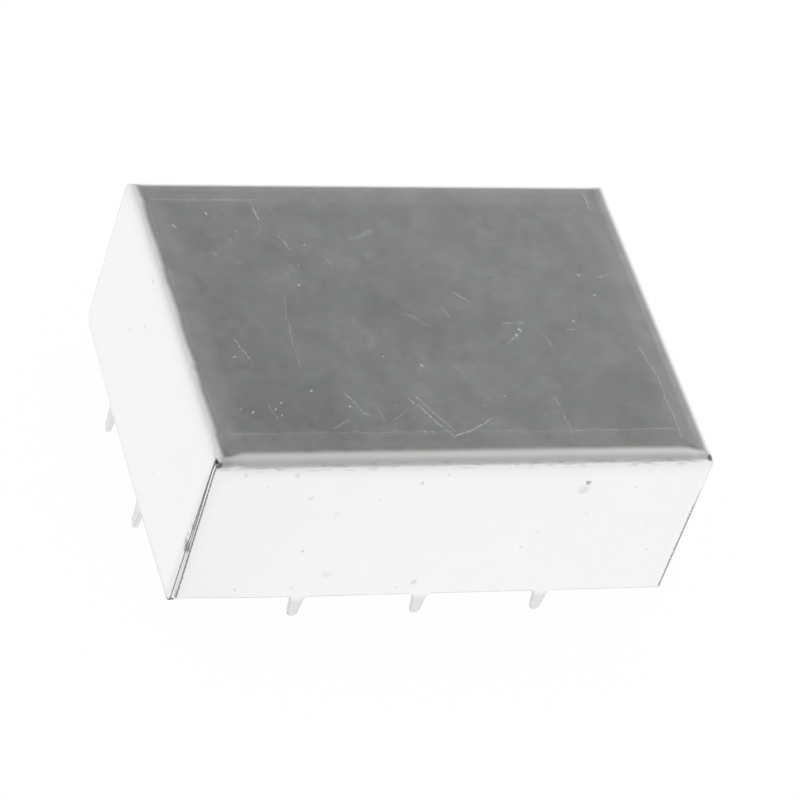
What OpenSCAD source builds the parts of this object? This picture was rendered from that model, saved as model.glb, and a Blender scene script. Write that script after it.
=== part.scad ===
// Five-sided shielding can, folded from one sheet of tinplate and open underneath.
// Solder pins stand along the lower edges of its four walls.
// Millimetres, +Z up. The origin is the middle of the board plane on which the wall edges sit.

/* [Can] */
// Outside width along X, the length of the two long walls
can_w = 50.8; // [45:0.1:80]
// Outside depth along Y
can_d = 38.1; // [30:0.1:60]
// Height from the board to the top face
can_h = 19.05; // [8:0.05:40]

/* [Sheet] */
// Thickness of the sheet
sheet_t = 0.4; // [0.2:0.05:0.7]
// Inside radius of the folds between the top and the walls
fold_r = 0.85; // [0.5:0.05:2]

/* [Corners] */
// Gap between the end of a wall and the wall that covers it
seam_gap = 0.2; // [0.1:0.05:0.7]
// Length of the relief cut across each top corner
relief_l = 1; // [0.7:0.05:1.6]
// Width of the relief cut
relief_w = 0.4; // [0.3:0.05:0.8]
// Radius of the lower corners of the side walls
foot_r = 1; // [0.3:0.1:3]

/* [Pins] */
// Spacing of the pins along every wall
pin_pitch = 12.7; // [6:0.1:15]
// Number of pins on each long wall
long_pins = 3; // [1:1:3]
// Number of pins on each side wall
side_pins = 2; // [1:1:2]
// Length of a pin below the wall's edge
pin_l = 2.8; // [1.5:0.1:5]
// Width of a pin at its root
pin_root_w = 1.3; // [0.9:0.05:2.5]
// Width of a pin at its round tip
pin_tip_w = 1; // [0.5:0.05:1.3]
// Radius of the fillets that run from a pin into the wall's edge
root_r = 0.5; // [0.2:0.05:1]

/* [Hidden] */
$fn = 96;
// Outside radius of the folds
outer_r = fold_r + sheet_t;
// How far a cutting shape runs past what it cuts
cut_over = 2 * sheet_t;
// Distance of the mitre's middle line and of its inner edge from the square corner, along each axis
mitre_mid = outer_r - (fold_r + sheet_t / 2) * cos(45);
mitre_in = outer_r - fold_r * cos(45);
// Slope of the corner's diagonal above the level
diagonal_tilt = atan(1 / sqrt(2));
// Depth of the relief cut along that diagonal
relief_depth = relief_l + 2 * sheet_t;
// How far the relief cut lies off the mitre, towards the covered wall
relief_shift = relief_l / 3;
// End of a covered wall, measured in from the outer face of the wall that covers it
covered_end = sheet_t + seam_gap;

// Outline of a bent strip seen from its end, with both upper corners round
module bent_outline(w, h, r) {
    translate([-w / 2, 0]) square([w, h - r]);
    translate([r - w / 2, 0]) square([w - 2 * r, h]);
    for (side = [-1, 1])
        translate([side * (w / 2 - r), h - r]) circle(r);
}

// Block with four folded upper edges that meet in mitred corners
module folded_block(w, d, h, r) {
    intersection() {
        translate([0, d / 2, 0]) rotate([90, 0, 0]) linear_extrude(d) bent_outline(w, h, r);
        translate([-w / 2, 0, 0]) rotate([90, 0, 90]) linear_extrude(w) bent_outline(d, h, r);
    }
}

// Top and four walls of even thickness, before the corners are cut
module folded_sheet() {
    difference() {
        folded_block(can_w, can_d, can_h, outer_r);
        translate([0, 0, -cut_over])
            folded_block(can_w - 2 * sheet_t, can_d - 2 * sheet_t, can_h - sheet_t + cut_over, fold_r);
    }
}

// Seam between the end of a covered wall and the wall along X, from the lower edge up to the relief cut
module seam_cut() {
    translate([-cut_over, sheet_t, -cut_over])
        cube([mitre_in + cut_over, seam_gap, can_h - mitre_mid + cut_over]);
}

// Relief cut straight across the corner, square to the diagonal and mostly in the covered wall's fold
module relief_cut() {
    translate([mitre_mid, mitre_mid, can_h - mitre_mid])
        rotate([0, 0, 225]) rotate([0, -diagonal_tilt, 0]) translate([0, -relief_shift, 0])
            cube([relief_depth, relief_l, relief_w], center = true);
}

// Cuts at a corner where the wall along X covers the end of the wall along Y
module covered_corner() {
    seam_cut();
    relief_cut();
}

// What is trimmed off the lower corner of a side wall that ends at the given distance, to make it round
module foot_cut(end) {
    start = end > 0 ? end - seam_gap / 2 : -cut_over;
    difference() {
        translate([-cut_over, start, -cut_over])
            cube([sheet_t + seam_gap / 2 + cut_over, end + foot_r - start, foot_r + cut_over]);
        translate([-2 * cut_over, end + foot_r, foot_r])
            rotate([0, 90, 0]) cylinder(h = sheet_t + 4 * cut_over, r = foot_r);
    }
}

// Cuts at all four corners: the front wall covers the side walls, and these cover the back wall
module corner_cuts() {
    for (flip_x = [0, 1])
        mirror([flip_x, 0, 0]) {
            translate([-can_w / 2, -can_d / 2, 0]) {
                covered_corner();
                foot_cut(covered_end);
            }
            mirror([0, 1, 0]) translate([-can_w / 2, -can_d / 2, 0]) {
                mirror([1, -1, 0]) covered_corner();
                foot_cut(0);
            }
        }
}

// Flat pin that narrows to a round tip, with fillets and a root that lies inside the wall
module pin() {
    tip_y = pin_tip_w / 2 - pin_l;
    root_half = pin_root_w / 2;
    tip_half = pin_tip_w / 2;
    linear_extrude(sheet_t) {
        polygon([
            [-root_half, 0], [root_half, 0], [root_half, -root_r],
            [tip_half, tip_y], [-tip_half, tip_y], [-root_half, -root_r]
        ]);
        translate([0, tip_y]) circle(tip_half);
        translate([-root_half - root_r, 0]) square([pin_root_w + 2 * root_r, root_r]);
        for (side = [-1, 1])
            difference() {
                translate([side * (root_half + root_r / 2), -root_r / 2]) square(root_r, center = true);
                translate([side * (root_half + root_r), -root_r]) circle(root_r);
            }
    }
}

// Pins on the two long walls and the two side walls, each row centred on its wall
module pin_rows() {
    for (flip_y = [0, 1], i = [0 : long_pins - 1])
        mirror([0, flip_y, 0])
            translate([(i - (long_pins - 1) / 2) * pin_pitch, sheet_t - can_d / 2, 0])
                rotate([90, 0, 0]) pin();
    for (flip_x = [0, 1], i = [0 : side_pins - 1])
        mirror([flip_x, 0, 0])
            translate([-can_w / 2, (i - (side_pins - 1) / 2) * pin_pitch, 0])
                rotate([90, 0, 90]) pin();
}

// The whole can is one folded piece
module shield_can() {
    color("silver") {
        difference() {
            folded_sheet();
            corner_cuts();
        }
        pin_rows();
    }
}

shield_can();
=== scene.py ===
import math

import bpy
import numpy
from mathutils import Matrix, Vector


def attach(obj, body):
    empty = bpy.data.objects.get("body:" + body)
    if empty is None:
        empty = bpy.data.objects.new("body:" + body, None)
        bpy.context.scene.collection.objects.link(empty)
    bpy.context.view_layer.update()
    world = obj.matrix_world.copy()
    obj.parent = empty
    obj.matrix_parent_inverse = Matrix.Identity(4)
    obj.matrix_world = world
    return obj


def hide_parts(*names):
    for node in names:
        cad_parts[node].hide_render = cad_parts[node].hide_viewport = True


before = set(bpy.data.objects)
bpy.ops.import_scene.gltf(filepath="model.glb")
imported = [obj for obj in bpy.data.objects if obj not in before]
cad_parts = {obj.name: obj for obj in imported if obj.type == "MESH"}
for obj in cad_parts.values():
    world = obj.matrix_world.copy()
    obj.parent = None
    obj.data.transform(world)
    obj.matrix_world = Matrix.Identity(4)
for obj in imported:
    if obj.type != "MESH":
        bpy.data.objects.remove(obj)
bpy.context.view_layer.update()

mm = 0.001


# small helpers for node trees

def joinUp(tree, value, socket):
    if isinstance(value, bpy.types.NodeSocket):
        tree.links.new(value, socket)
    else:
        socket.default_value = value


def mathOf(tree, operation, first, second=None, third=None):
    node = tree.nodes.new("ShaderNodeMath")
    node.operation = operation
    for socket, value in zip(node.inputs, (first, second, third)):
        if value is not None:
            joinUp(tree, value, socket)
    return node.outputs[0]


def vectorOf(tree, operation, first, second=None, scale=None):
    node = tree.nodes.new("ShaderNodeVectorMath")
    node.operation = operation
    joinUp(tree, first, node.inputs[0])
    if second is not None:
        joinUp(tree, second, node.inputs[1])
    if scale is not None:
        joinUp(tree, scale, node.inputs["Scale"])
    isNumber = operation in ("DOT_PRODUCT", "DISTANCE")
    return node.outputs["Value" if isNumber else "Vector"]


def timesOf(tree, first, second):
    return mathOf(tree, "MULTIPLY", first, second)


def minusOf(tree, first, second):
    return mathOf(tree, "SUBTRACT", first, second)


def largerOf(tree, first, second):
    return mathOf(tree, "MAXIMUM", first, second)


def splitOf(tree, vector):
    node = tree.nodes.new("ShaderNodeSeparateXYZ")
    tree.links.new(vector, node.inputs[0])
    return node.outputs


def attributeOf(tree, name, output):
    node = tree.nodes.new("ShaderNodeAttribute")
    node.attribute_name = name
    return node.outputs[output]


def rangeOf(tree, value, fromLow, fromHigh, toLow=0.0, toHigh=1.0, smooth=False):
    node = tree.nodes.new("ShaderNodeMapRange")
    node.interpolation_type = "SMOOTHSTEP" if smooth else "LINEAR"
    node.clamp = not smooth              # a smooth step keeps to its ends by itself
    for name, setting in (("Value", value), ("From Min", fromLow), ("From Max", fromHigh),
                          ("To Min", toLow), ("To Max", toHigh)):
        joinUp(tree, setting, node.inputs[name])
    return node.outputs["Result"]


def noiseOf(tree, place, scale, detail, distortion):
    node = tree.nodes.new("ShaderNodeTexNoise")
    joinUp(tree, place, node.inputs["Vector"])
    node.inputs["Scale"].default_value = scale
    node.inputs["Detail"].default_value = detail
    node.inputs["Distortion"].default_value = distortion
    return node.outputs["Fac"]


def shiftedOf(tree, place, scale, reach):
    # every place moved a little, by smooth noise
    noise = tree.nodes.new("ShaderNodeTexNoise")
    noise.inputs["Scale"].default_value = scale
    tree.links.new(place, noise.inputs["Vector"])
    shift = vectorOf(tree, "SUBTRACT", noise.outputs["Color"], (0.5, 0.5, 0.5))
    return vectorOf(tree, "ADD", place, vectorOf(tree, "MULTIPLY", shift, reach))


def mixOf(tree, factor, first, second):
    node = tree.nodes.new("ShaderNodeMix")
    node.data_type = "RGBA"
    for name, value in (("Factor", factor), ("A", first), ("B", second)):
        socket = next(s for s in node.inputs if s.name == name and s.enabled)
        joinUp(tree, value, socket)
    return next(s for s in node.outputs if s.enabled)


# tinplate finish: places are in millimetres on the flat sheet, before it is folded
tinplateLook = {
    "colour": (0.965, 0.963, 0.975, 1.0),
    "dullColour": (0.86, 0.87, 0.855, 1.0),
    "greenColour": (0.90, 0.945, 0.925, 1.0),
    "violetColour": (0.935, 0.905, 0.935, 1.0),
    "borderColour": (0.93, 0.92, 0.87, 1.0),
    "pinColour": (0.80, 0.80, 0.79, 1.0),
    # dark colour of specks and patches, also used for the painted shade beside the folds, at the seam and by
    # the relief cut
    "speckAndShadeColour": (0.32, 0.32, 0.31, 1.0),
    "sheenColour": (1.0, 1.0, 1.0, 1.0),
    "edgeColour": (0.16, 0.16, 0.15, 1.0),
    "roughness": {             # the least, and what each mark adds to it
        "least": 0.28,
        "mottled": 0.045,
        "border": 0.045,
        "scratch": 0.36,
        "speck": 0.65,
        "edge": 0.15,
    },
    "bump": (0.3, 0.000003),   # strength of the mottling's bump, and its height in metres
    "patterns": {              # noise in the tin: scale to a millimetre, detail, distortion
        "clouds": (0.20, 2.0, 0.4),
        "mottle": (1.1, 1.0, 0.0),
        "grain": (4.0, 2.0, 0.0),
        "smudges": (0.45, 2.0, 0.8),
        "green": (0.28, 2.0, 0.6),
        "violet": (0.35, 2.0, 0.6),
        "streaks": (2.2, 2.0, 0.0),
    },
    "dullShares": {"clouds": 0.40, "smudges": 0.35, "mottle": 0.25},
    "levels": {                # from where to where a pattern counts, and what it gives there
        "dull": (0.38, 0.62, 0.0, 1.0),
        "green": (0.40, 0.62, 0.0, 0.5),
        "violet": (0.48, 0.66, 0.0, 0.6),
        "streaks": (0.48, 0.66, 0.0, 1.0),
        "scratchGrain": (0.40, 0.60, 0.1, 0.85),
        "speckGrain": (0.35, 0.6, 0.5, 1.0),
        "rubGrain": (0.35, 0.65, 0.4, 1.0),
        "edgeWidth": (0.3, 0.7, 0.066, 0.143),   # of the dark line on a cut edge
    },
    "violetShift": (60.0, 0.0, 0.0),
    "outerFace": (-0.3, -0.2),               # depth at which the inside of the sheet starts
    "mottling": (-0.5, 0.8, 1.0, 0.2),       # past a fold: from, to, on the top, on the walls
    # beside the folds the tin is warmer in colour
    "border": {"rise": (-2.8, -0.9), "fall": (0.4, 2.0), "strength": 0.35},
    "foldShadesAndMarks": {                 # painted shade beside the folds, and marks there, in millimetres past the fold line
        "pressLine": {"below": 2.45, "half": 0.55, "strength": 0.12},
        "streaks": {"below": 1.5, "half": (0.2, 0.9), "strength": 0.40, "stretch": (0.3, 1.6, 0.0)},
        "frontFold": {"start": (-0.6, 0.2), "end": (1.7, 2.1), "strength": 0.15, "span": (-24.0, 18.0)},
        "frontWall": {"start": (1.7, 2.0), "end": (1.9, 3.6), "strength": 0.09},
        "leftWall": {"start": (0.3, 0.9), "end": (0.9, 3.6), "strength": 0.09},
    },
    "pinFade": 0.8,            # length over which a wall's colour turns into its pins'
    "edgeBlur": (-0.05, 0.03),
    "edgeLeast": 0.4,          # the line's width is taken times the edge's wear and painted shade plus this
    "scratchSway": (0.7, (0.8, 0.5, 0.0)),   # bends in the scratches: scale and reach
    "speckSway": (3.5, (0.7, 0.7, 0.0)),     # ragged outlines of the specks
    "scratchCore": 0.3,        # part of its width where a mark has its full strength
    "speckCore": 0.2,
    "rubCore": 0.1,
    "speckStrength": 0.6,      # where a speck gives none
    # how much lighter the scratches are painted: painted sheen on real marks
    "scratchBright": 0.7,
    "fleckStrength": 0.9,
    "fleckMissing": 0.4,       # share of the flecks that are left out
    "fleckSoft": 0.6,
    "scratches": [             # strength, width, points along it
        (0.8, 0.10, (-13.5, 15.8), (-13.4, 13.4)),
        (0.4, 0.10, (-11.6, 15.7), (-11.5, 13.9)),
        (0.7, 0.10, (-11.8, 11.2), (-11.1, 9.3)),
        (0.45, 0.10, (-13.5, 2.4), (-13.8, -0.1), (-14.0, -4.6), (-14.1, -6.6)),
        (0.9, 0.10, (-19.9, -2.7), (-18.8, -5.8)),
        (0.4, 0.35, (-4.4, 10.8), (-1.9, 11.7)),
        (0.5, 0.12, (-7.6, 8.2), (-7.4, 7.0)),
        (0.3, 0.40, (-1.6, 0.6), (0.7, -1.3)),
        (0.5, 0.16, (-10.6, -10.1), (-9.0, -13.1)),
        (0.9, 0.10, (-4.3, -10.9), (-1.1, -15.8)),
        (0.8, 0.08, (-3.6, -10.6), (-0.6, -15.4)),
        (0.9, 0.10, (-1.1, -16.1), (1.5, -15.0), (3.5, -13.7)),
        (0.5, 0.10, (-7.6, -12.2), (-7.5, -13.9)),
        (0.6, 0.10, (-6.5, -13.8), (-4.9, -12.6)),
        (0.5, 0.12, (-12.8, -14.7), (-11.0, -13.6)),
        (0.5, 0.10, (-18.7, -11.4), (-18.1, -13.4)),
        (0.6, 0.12, (2.5, 1.1), (3.0, -0.1)),
        (0.7, 0.12, (4.3, 3.3), (5.6, 2.1)),
        (0.4, 0.14, (8.1, -3.6), (9.9, -2.2)),
        (0.4, 0.20, (8.6, -1.0), (10.5, -0.9)),
        (0.4, 0.12, (12.1, -2.2), (12.6, -4.1)),
        (0.8, 0.10, (11.0, -11.1), (11.2, -15.7)),
        (0.65, 0.12, (21.8, -4.1), (22.6, -7.8), (22.5, -9.9), (22.6, -14.6), (22.5, -16.5)),
        (0.6, 0.12, (9.9, 14.0), (10.4, 13.5)),
        (0.8, 0.12, (22.6, 17.6), (22.6, 15.3)),
        (0.4, 0.16, (14.9, -2.0), (17.7, -1.3)),
        (0.5, 0.30, (20.6, 5.4), (21.6, 5.7)),
        (0.3, 0.14, (1.6, -6.4), (2.6, -8.0)),
        (0.35, 0.16, (-23.0, -15.3), (22.6, -15.3)),
        (0.55, 0.12, (15.5, -15.3), (21.5, -15.3)),
        (0.40, 0.18, (-23.6, 16.2), (-13.0, 16.2)),
    ],
    "paleSpecks": [            # on the top, painted lighter as painted sheen: place, radius
        (-9.4, 9.8, 0.16), (-4.5, 15.5, 0.14), (-16.0, 11.7, 0.16), (-5.3, -5.4, 0.16),
        (-1.7, -6.6, 0.18), (-3.8, -15.3, 0.20), (-21.4, -12.1, 0.16), (-20.3, -12.5, 0.14),
        (5.6, -10.7, 0.14), (19.3, 2.9, 0.18), (18.5, 5.7, 0.25), (9.9, -1.9, 0.25), (15.9, -0.7, 0.20),
        (16.6, 0.5, 0.18), (-20.4, -5.2, 0.14), (-13.8, -9.8, 0.14), (-10.5, -11.9, 0.14),
        (-11.4, 4.3, 0.14), (-13.9, 11.5, 0.55, 0.08), (9.3, -2.6, 0.20), (8.8, -3.1, 0.16),
        (-18.0, -12.2, 0.16), (-17.2, -11.3, 0.14), (-17.6, -13.0, 0.12),
    ],
    "flecks": [                # short marks all over: direction, stretch, number to a millimetre, half width
        (-58.0, 5.0, 0.9, 0.09), (25.0, 4.0, 0.8, 0.08), (-80.0, 3.0, 0.7, 0.08), (0.0, 1.0, 0.6, 0.08),
    ],
    "rubs": {                  # beside the folds: middle past the fold line, half width, strength
        "left": (0.25, 0.6, 0.18), "right": (0.1, 0.7, 0.35), "back": (-0.1, 0.5, 0.12),
    },
    "darkPatchesAndNotchShade": [           # large patches of the top, and painted shade by the front relief cut: place, radius, strength
        (-15.5, -11.5, 9.0, 0.12), (-1.0, 0.5, 8.0, 0.12), (18.0, -11.5, 7.0, 0.15),
        # the last two are painted shade on the folds beside the front relief cut
        (-18.0, 0.0, 8.0, 0.05), (-24.5, -18.7, 1.2, 0.35), (-24.4, -17.5, 0.7, 0.45),
    ],
    "darkSpecksAndSeamShade": [            # mostly on the walls, and painted shade in the seam: place, radius, strength
        (8.9, 5.4, 0.12, 0.7), (13.0, -22.0, 0.45, 0.9), (12.8, -23.0, 0.9, 0.3),
        (18.2, -22.7, 0.20, 0.6), (23.4, -24.4, 0.16, 0.4), (14.2, -26.5, 0.20, 0.4),
        (9.8, -28.8, 0.20, 0.4), (8.6, -31.0, 0.20, 0.4), (20.9, -27.9, 0.18, 0.2),
        (22.2, -31.8, 0.22, 0.3), (-13.9, -31.0, 0.25, 0.5), (-19.7, -21.7, 0.20, 0.4),
        (-4.2, -21.6, 0.28, 0.5), (-15.0, -23.5, 0.45, 0.25), (-11.8, -25.7, 0.25, 0.3),
        (-18.6, -26.7, 0.16, 0.3), (-24.3, -29.0, 0.14, 0.5), (-1.2, -35.8, 0.50, 0.35),
        (-19.4, -36.3, 0.25, 0.5), (-13.7, -36.1, 0.20, 0.3), (-2.8, -36.5, 0.20, 0.4),
        (-10.6, -34.4, 0.70, 0.15), (-8.0, -23.9, 0.18, 0.4), (-17.1, -20.3, 0.30, 0.4),
        (-22.2, -20.2, 0.25, 0.4), (-1.8, -20.6, 0.20, 0.5), (-28.2, 10.0, 0.20, 0.5),
        (-32.4, -3.9, 0.16, 0.4), (-39.0, -7.0, 0.22, 0.4), (-34.8, 8.2, 0.35, 0.25),
        # the last four are painted shade in the seam at the left wall's nicked front end
        (-31.3, 5.0, 0.35, 0.25), (-26.6, 6.5, 0.30, 0.4), (-36.6, -18.3, 0.75, 1.0),
        (-37.2, -18.4, 0.6, 1.0), (-35.6, -18.1, 0.35, 0.6), (-34.2, -18.4, 0.45, 0.8),
    ],
}


def scratchMask(tree, place):
    # soft lines, from the distance to the nearest stretch of a scratch
    mask = None
    for strength, width, *points in tinplateLook["scratches"]:
        core = tinplateLook["scratchCore"] * width
        for start, end in zip(points, points[1:]):
            along = Vector((end[0] - start[0], end[1] - start[1], 0.0))
            fromStart = vectorOf(tree, "SUBTRACT", place, (start[0], start[1], 0.0))
            part = vectorOf(tree, "DOT_PRODUCT", fromStart, tuple(along / along.length_squared))
            part = mathOf(tree, "MINIMUM", largerOf(tree, part, 0.0), 1.0)
            nearest = vectorOf(tree, "SCALE", tuple(along), scale=part)
            gap = vectorOf(tree, "DISTANCE", fromStart, nearest)
            line = rangeOf(tree, gap, core, width, strength, 0.0, smooth=True)
            mask = largerOf(tree, mask, line) if mask else line
    return mask


def speckMask(tree, place, specks):
    mask = None
    for x, y, radius, *given in specks:
        strength = given[0] if given else tinplateLook["speckStrength"]
        gap = vectorOf(tree, "DISTANCE", place, (x, y, 0.0))
        spot = rangeOf(tree, gap, tinplateLook["speckCore"] * radius, radius, strength, 0.0, smooth=True)
        mask = largerOf(tree, mask, spot) if mask else spot
    return mask


def fleckMask(tree, place, turn, stretch, scale, size):
    # scattered short marks: the middles of random cells, drawn out along one direction
    drawn = tree.nodes.new("ShaderNodeMapping")
    drawn.vector_type = "TEXTURE"
    drawn.inputs["Rotation"].default_value = (0.0, 0.0, math.radians(turn))
    drawn.inputs["Scale"].default_value = (stretch, 1.0, 1.0)
    tree.links.new(place, drawn.inputs["Vector"])
    cells = tree.nodes.new("ShaderNodeTexVoronoi")
    cells.inputs["Scale"].default_value = scale
    tree.links.new(drawn.outputs["Vector"], cells.inputs["Vector"])
    chance = splitOf(tree, cells.outputs["Color"])
    reach = rangeOf(tree, chance[0], tinplateLook["fleckMissing"], 1.0, 0.0, size)
    gap = minusOf(tree, cells.outputs["Distance"], reach)
    mark = rangeOf(tree, gap, -tinplateLook["fleckSoft"] * size, 0.0, 1.0, 0.0)
    return timesOf(tree, mark, chance[1])


def tinPatterns(tree):
    # where a point lies on the flat sheet, and the mottling there
    sheet = vectorOf(tree, "SCALE", attributeOf(tree, "sheetPlace", "Vector"), scale=1.0 / mm)
    x, y, z = splitOf(tree, sheet)
    tin = {"x": x, "y": y, "place": vectorOf(tree, "MULTIPLY", sheet, (1.0, 1.0, 0.0))}
    tin["outside"] = rangeOf(tree, z, *tinplateLook["outerFace"])
    for name in ("clouds", "mottle", "grain", "smudges"):
        tin[name] = noiseOf(tree, tin["place"], *tinplateLook["patterns"][name])
    shares = tinplateLook["dullShares"]
    dull = timesOf(tree, tin["clouds"], shares["clouds"])
    for name in ("smudges", "mottle"):
        dull = mathOf(tree, "MULTIPLY_ADD", tin[name], shares[name], dull)
    tin["dull"] = rangeOf(tree, dull, *tinplateLook["levels"]["dull"])
    return tin


def markTin(tree, tin):
    # breaks in the scratches follow the grain
    place, levels = tin["place"], tinplateLook["levels"]
    broken = rangeOf(tree, tin["grain"], *levels["scratchGrain"])
    swayed = shiftedOf(tree, place, *tinplateLook["scratchSway"])
    scratch = timesOf(tree, scratchMask(tree, swayed), broken)
    for fleck in tinplateLook["flecks"]:
        mark = timesOf(tree, fleckMask(tree, place, *fleck), tinplateLook["fleckStrength"])
        scratch = largerOf(tree, scratch, mark)
    tin["scratch"] = timesOf(tree, scratch, tin["outside"])
    # specks have ragged outlines
    ragged = shiftedOf(tree, place, *tinplateLook["speckSway"])
    for name in ("paleSpecks", "darkSpecksAndSeamShade"):
        tin[name] = timesOf(tree, speckMask(tree, ragged, tinplateLook[name]), tin["outside"])
    grainy = rangeOf(tree, tin["grain"], *levels["speckGrain"])
    tin["darkSpecksAndSeamShade"] = timesOf(tree, tin["darkSpecksAndSeamShade"], grainy)


def tinColour(tree, tin):
    look, patterns, levels = tinplateLook, tinplateLook["patterns"], tinplateLook["levels"]
    acrossX = minusOf(tree, mathOf(tree, "ABSOLUTE", tin["x"]), flatX)
    acrossY = minusOf(tree, mathOf(tree, "ABSOLUTE", tin["y"]), flatY)
    tin["pastFold"] = largerOf(tree, acrossX, acrossY)
    # the top is mottled more than the walls
    onTop = rangeOf(tree, tin["pastFold"], *look["mottling"])
    colour = mixOf(tree, timesOf(tree, tin["dull"], onTop), look["colour"], look["dullColour"])
    green = rangeOf(tree, noiseOf(tree, tin["place"], *patterns["green"]), *levels["green"])
    colour = mixOf(tree, timesOf(tree, green, onTop), colour, look["greenColour"])
    elsewhere = vectorOf(tree, "ADD", tin["place"], look["violetShift"])
    violet = rangeOf(tree, noiseOf(tree, elsewhere, *patterns["violet"]), *levels["violet"])
    colour = mixOf(tree, timesOf(tree, violet, onTop), colour, look["violetColour"])
    patches = speckMask(tree, tin["place"], look["darkPatchesAndNotchShade"])
    colour = mixOf(tree, patches, colour, look["speckAndShadeColour"])
    # a warmer border beside the folds
    border = look["border"]
    rise = rangeOf(tree, tin["pastFold"], *border["rise"], smooth=True)
    fall = rangeOf(tree, tin["pastFold"], *border["fall"], 1.0, 0.0, smooth=True)
    tin["border"] = timesOf(tree, rise, fall)
    return mixOf(tree, timesOf(tree, tin["border"], border["strength"]), colour, look["borderColour"])


def foldShadeAndMarks(tree, tin):
    foldShadesAndMarks = tinplateLook["foldShadesAndMarks"]

    def fading(gap, grey):
        fall = rangeOf(tree, gap, *grey["end"], grey["strength"], 0.0, smooth=True)
        return timesOf(tree, fall, rangeOf(tree, gap, *grey["start"]))

    # a grey line where the tool pressed the front wall below its fold: a real mark, with painted shade
    line = foldShadesAndMarks["pressLine"]
    gap = mathOf(tree, "ABSOLUTE", mathOf(tree, "ADD", tin["y"], flatY + line["below"]))
    pressed = rangeOf(tree, gap, 0.0, line["half"], line["strength"], 0.0, smooth=True)
    grey = timesOf(tree, pressed, tin["clouds"])
    # painted shade: the left wall greys towards its fold
    tin["pastLeft"] = minusOf(tree, timesOf(tree, tin["x"], -1.0), flatX)
    grey = largerOf(tree, grey, fading(tin["pastLeft"], foldShadesAndMarks["leftWall"]))
    # dark streaks low on the front fold
    pastFront = minusOf(tree, timesOf(tree, tin["y"], -1.0), flatY)
    line = foldShadesAndMarks["streaks"]
    drawn = vectorOf(tree, "MULTIPLY", tin["place"], line["stretch"])
    streaks = noiseOf(tree, drawn, *tinplateLook["patterns"]["streaks"])
    gap = mathOf(tree, "ABSOLUTE", minusOf(tree, pastFront, line["below"]))
    marks = rangeOf(tree, gap, *line["half"], line["strength"], 0.0, smooth=True)
    marks = timesOf(tree, marks, rangeOf(tree, streaks, *tinplateLook["levels"]["streaks"]))
    # painted shade: that fold is greyer towards the left, and the wall just below it is a little grey
    front = foldShadesAndMarks["frontFold"]
    start = rangeOf(tree, pastFront, *front["start"])
    onFold = timesOf(tree, start, rangeOf(tree, pastFront, *front["end"], 1.0, 0.0))
    leftwardShade = timesOf(tree, onFold, rangeOf(tree, tin["x"], *front["span"], front["strength"], 0.0))
    below = fading(pastFront, foldShadesAndMarks["frontWall"])
    for shade in (marks, leftwardShade, below):
        grey = largerOf(tree, grey, shade)
    return grey


def cutEdgeMask(tree, tin):
    # the darker an edge, from wear and from painted shade, the wider its dark line
    edgeWearAndShade = attributeOf(tree, "edgeWearAndShade", "Fac")
    width = rangeOf(tree, tin["grain"], *tinplateLook["levels"]["edgeWidth"])
    width = timesOf(tree, width, mathOf(tree, "ADD", edgeWearAndShade, tinplateLook["edgeLeast"]))
    edgeGap = minusOf(tree, attributeOf(tree, "edgeGap", "Fac"), width)
    return timesOf(tree, rangeOf(tree, edgeGap, *tinplateLook["edgeBlur"], 1.0, 0.0), edgeWearAndShade)


def rubFolds(tree, tin):
    # the top is rubbed along its left, right and back folds
    past = {"left": tin["pastLeft"], "right": minusOf(tree, tin["x"], flatX),
            "back": minusOf(tree, tin["y"], flatY)}
    for side, (middle, half, strength) in tinplateLook["rubs"].items():
        gap = mathOf(tree, "ABSOLUTE", minusOf(tree, past[side], middle))
        rub = rangeOf(tree, gap, tinplateLook["rubCore"] * half, half, strength, 0.0, smooth=True)
        rub = timesOf(tree, rub, rangeOf(tree, tin["grain"], *tinplateLook["levels"]["rubGrain"]))
        tin["scratch"] = largerOf(tree, tin["scratch"], timesOf(tree, rub, tin["outside"]))


def tinplateMaterial():
    look = tinplateLook
    material = bpy.data.materials.new("tinplate")
    material.use_nodes = True
    tree = material.node_tree
    shader = tree.nodes["Principled BSDF"]
    shader.inputs["Metallic"].default_value = 1.0

    tin = tinPatterns(tree)
    markTin(tree, tin)
    colour = tinColour(tree, tin)
    # painted shade beside the folds, with the press line and streaks, darkens the colour
    grey = timesOf(tree, foldShadeAndMarks(tree, tin), tin["outside"])
    colour = mixOf(tree, grey, colour, look["speckAndShadeColour"])
    colour = mixOf(tree, tin["darkSpecksAndSeamShade"], colour, look["speckAndShadeColour"])
    pinStart = quarter + wallLength
    onPin = rangeOf(tree, tin["pastFold"], pinStart, pinStart + look["pinFade"])
    colour = mixOf(tree, onPin, colour, look["pinColour"])
    # scratches, flecks and pale specks are real marks, painted lighter as painted sheen
    bright = timesOf(tree, tin["scratch"], look["scratchBright"])
    bright = largerOf(tree, tin["paleSpecks"], bright)
    colour = mixOf(tree, bright, colour, look["sheenColour"])
    edge = cutEdgeMask(tree, tin)
    colour = mixOf(tree, edge, colour, look["edgeColour"])
    tree.links.new(colour, shader.inputs["Base Color"])

    # what is paler also scatters light more
    rubFolds(tree, tin)
    adds = look["roughness"]
    rough = minusOf(tree, 1.0, tin["dull"])
    rough = mathOf(tree, "MULTIPLY_ADD", rough, adds["mottled"], adds["least"])
    for mask, name in ((tin["border"], "border"), (tin["scratch"], "scratch"),
                       (tin["paleSpecks"], "speck"), (edge, "edge")):
        rough = mathOf(tree, "MULTIPLY_ADD", mask, adds[name], rough)
    tree.links.new(rough, shader.inputs["Roughness"])

    bump = tree.nodes.new("ShaderNodeBump")
    bump.inputs["Strength"].default_value, bump.inputs["Distance"].default_value = look["bump"]
    tree.links.new(tin["mottle"], bump.inputs["Height"])
    tree.links.new(bump.outputs["Normal"], shader.inputs["Normal"])
    print("tinplate finish:", len(tree.nodes), "nodes")
    return material


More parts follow.
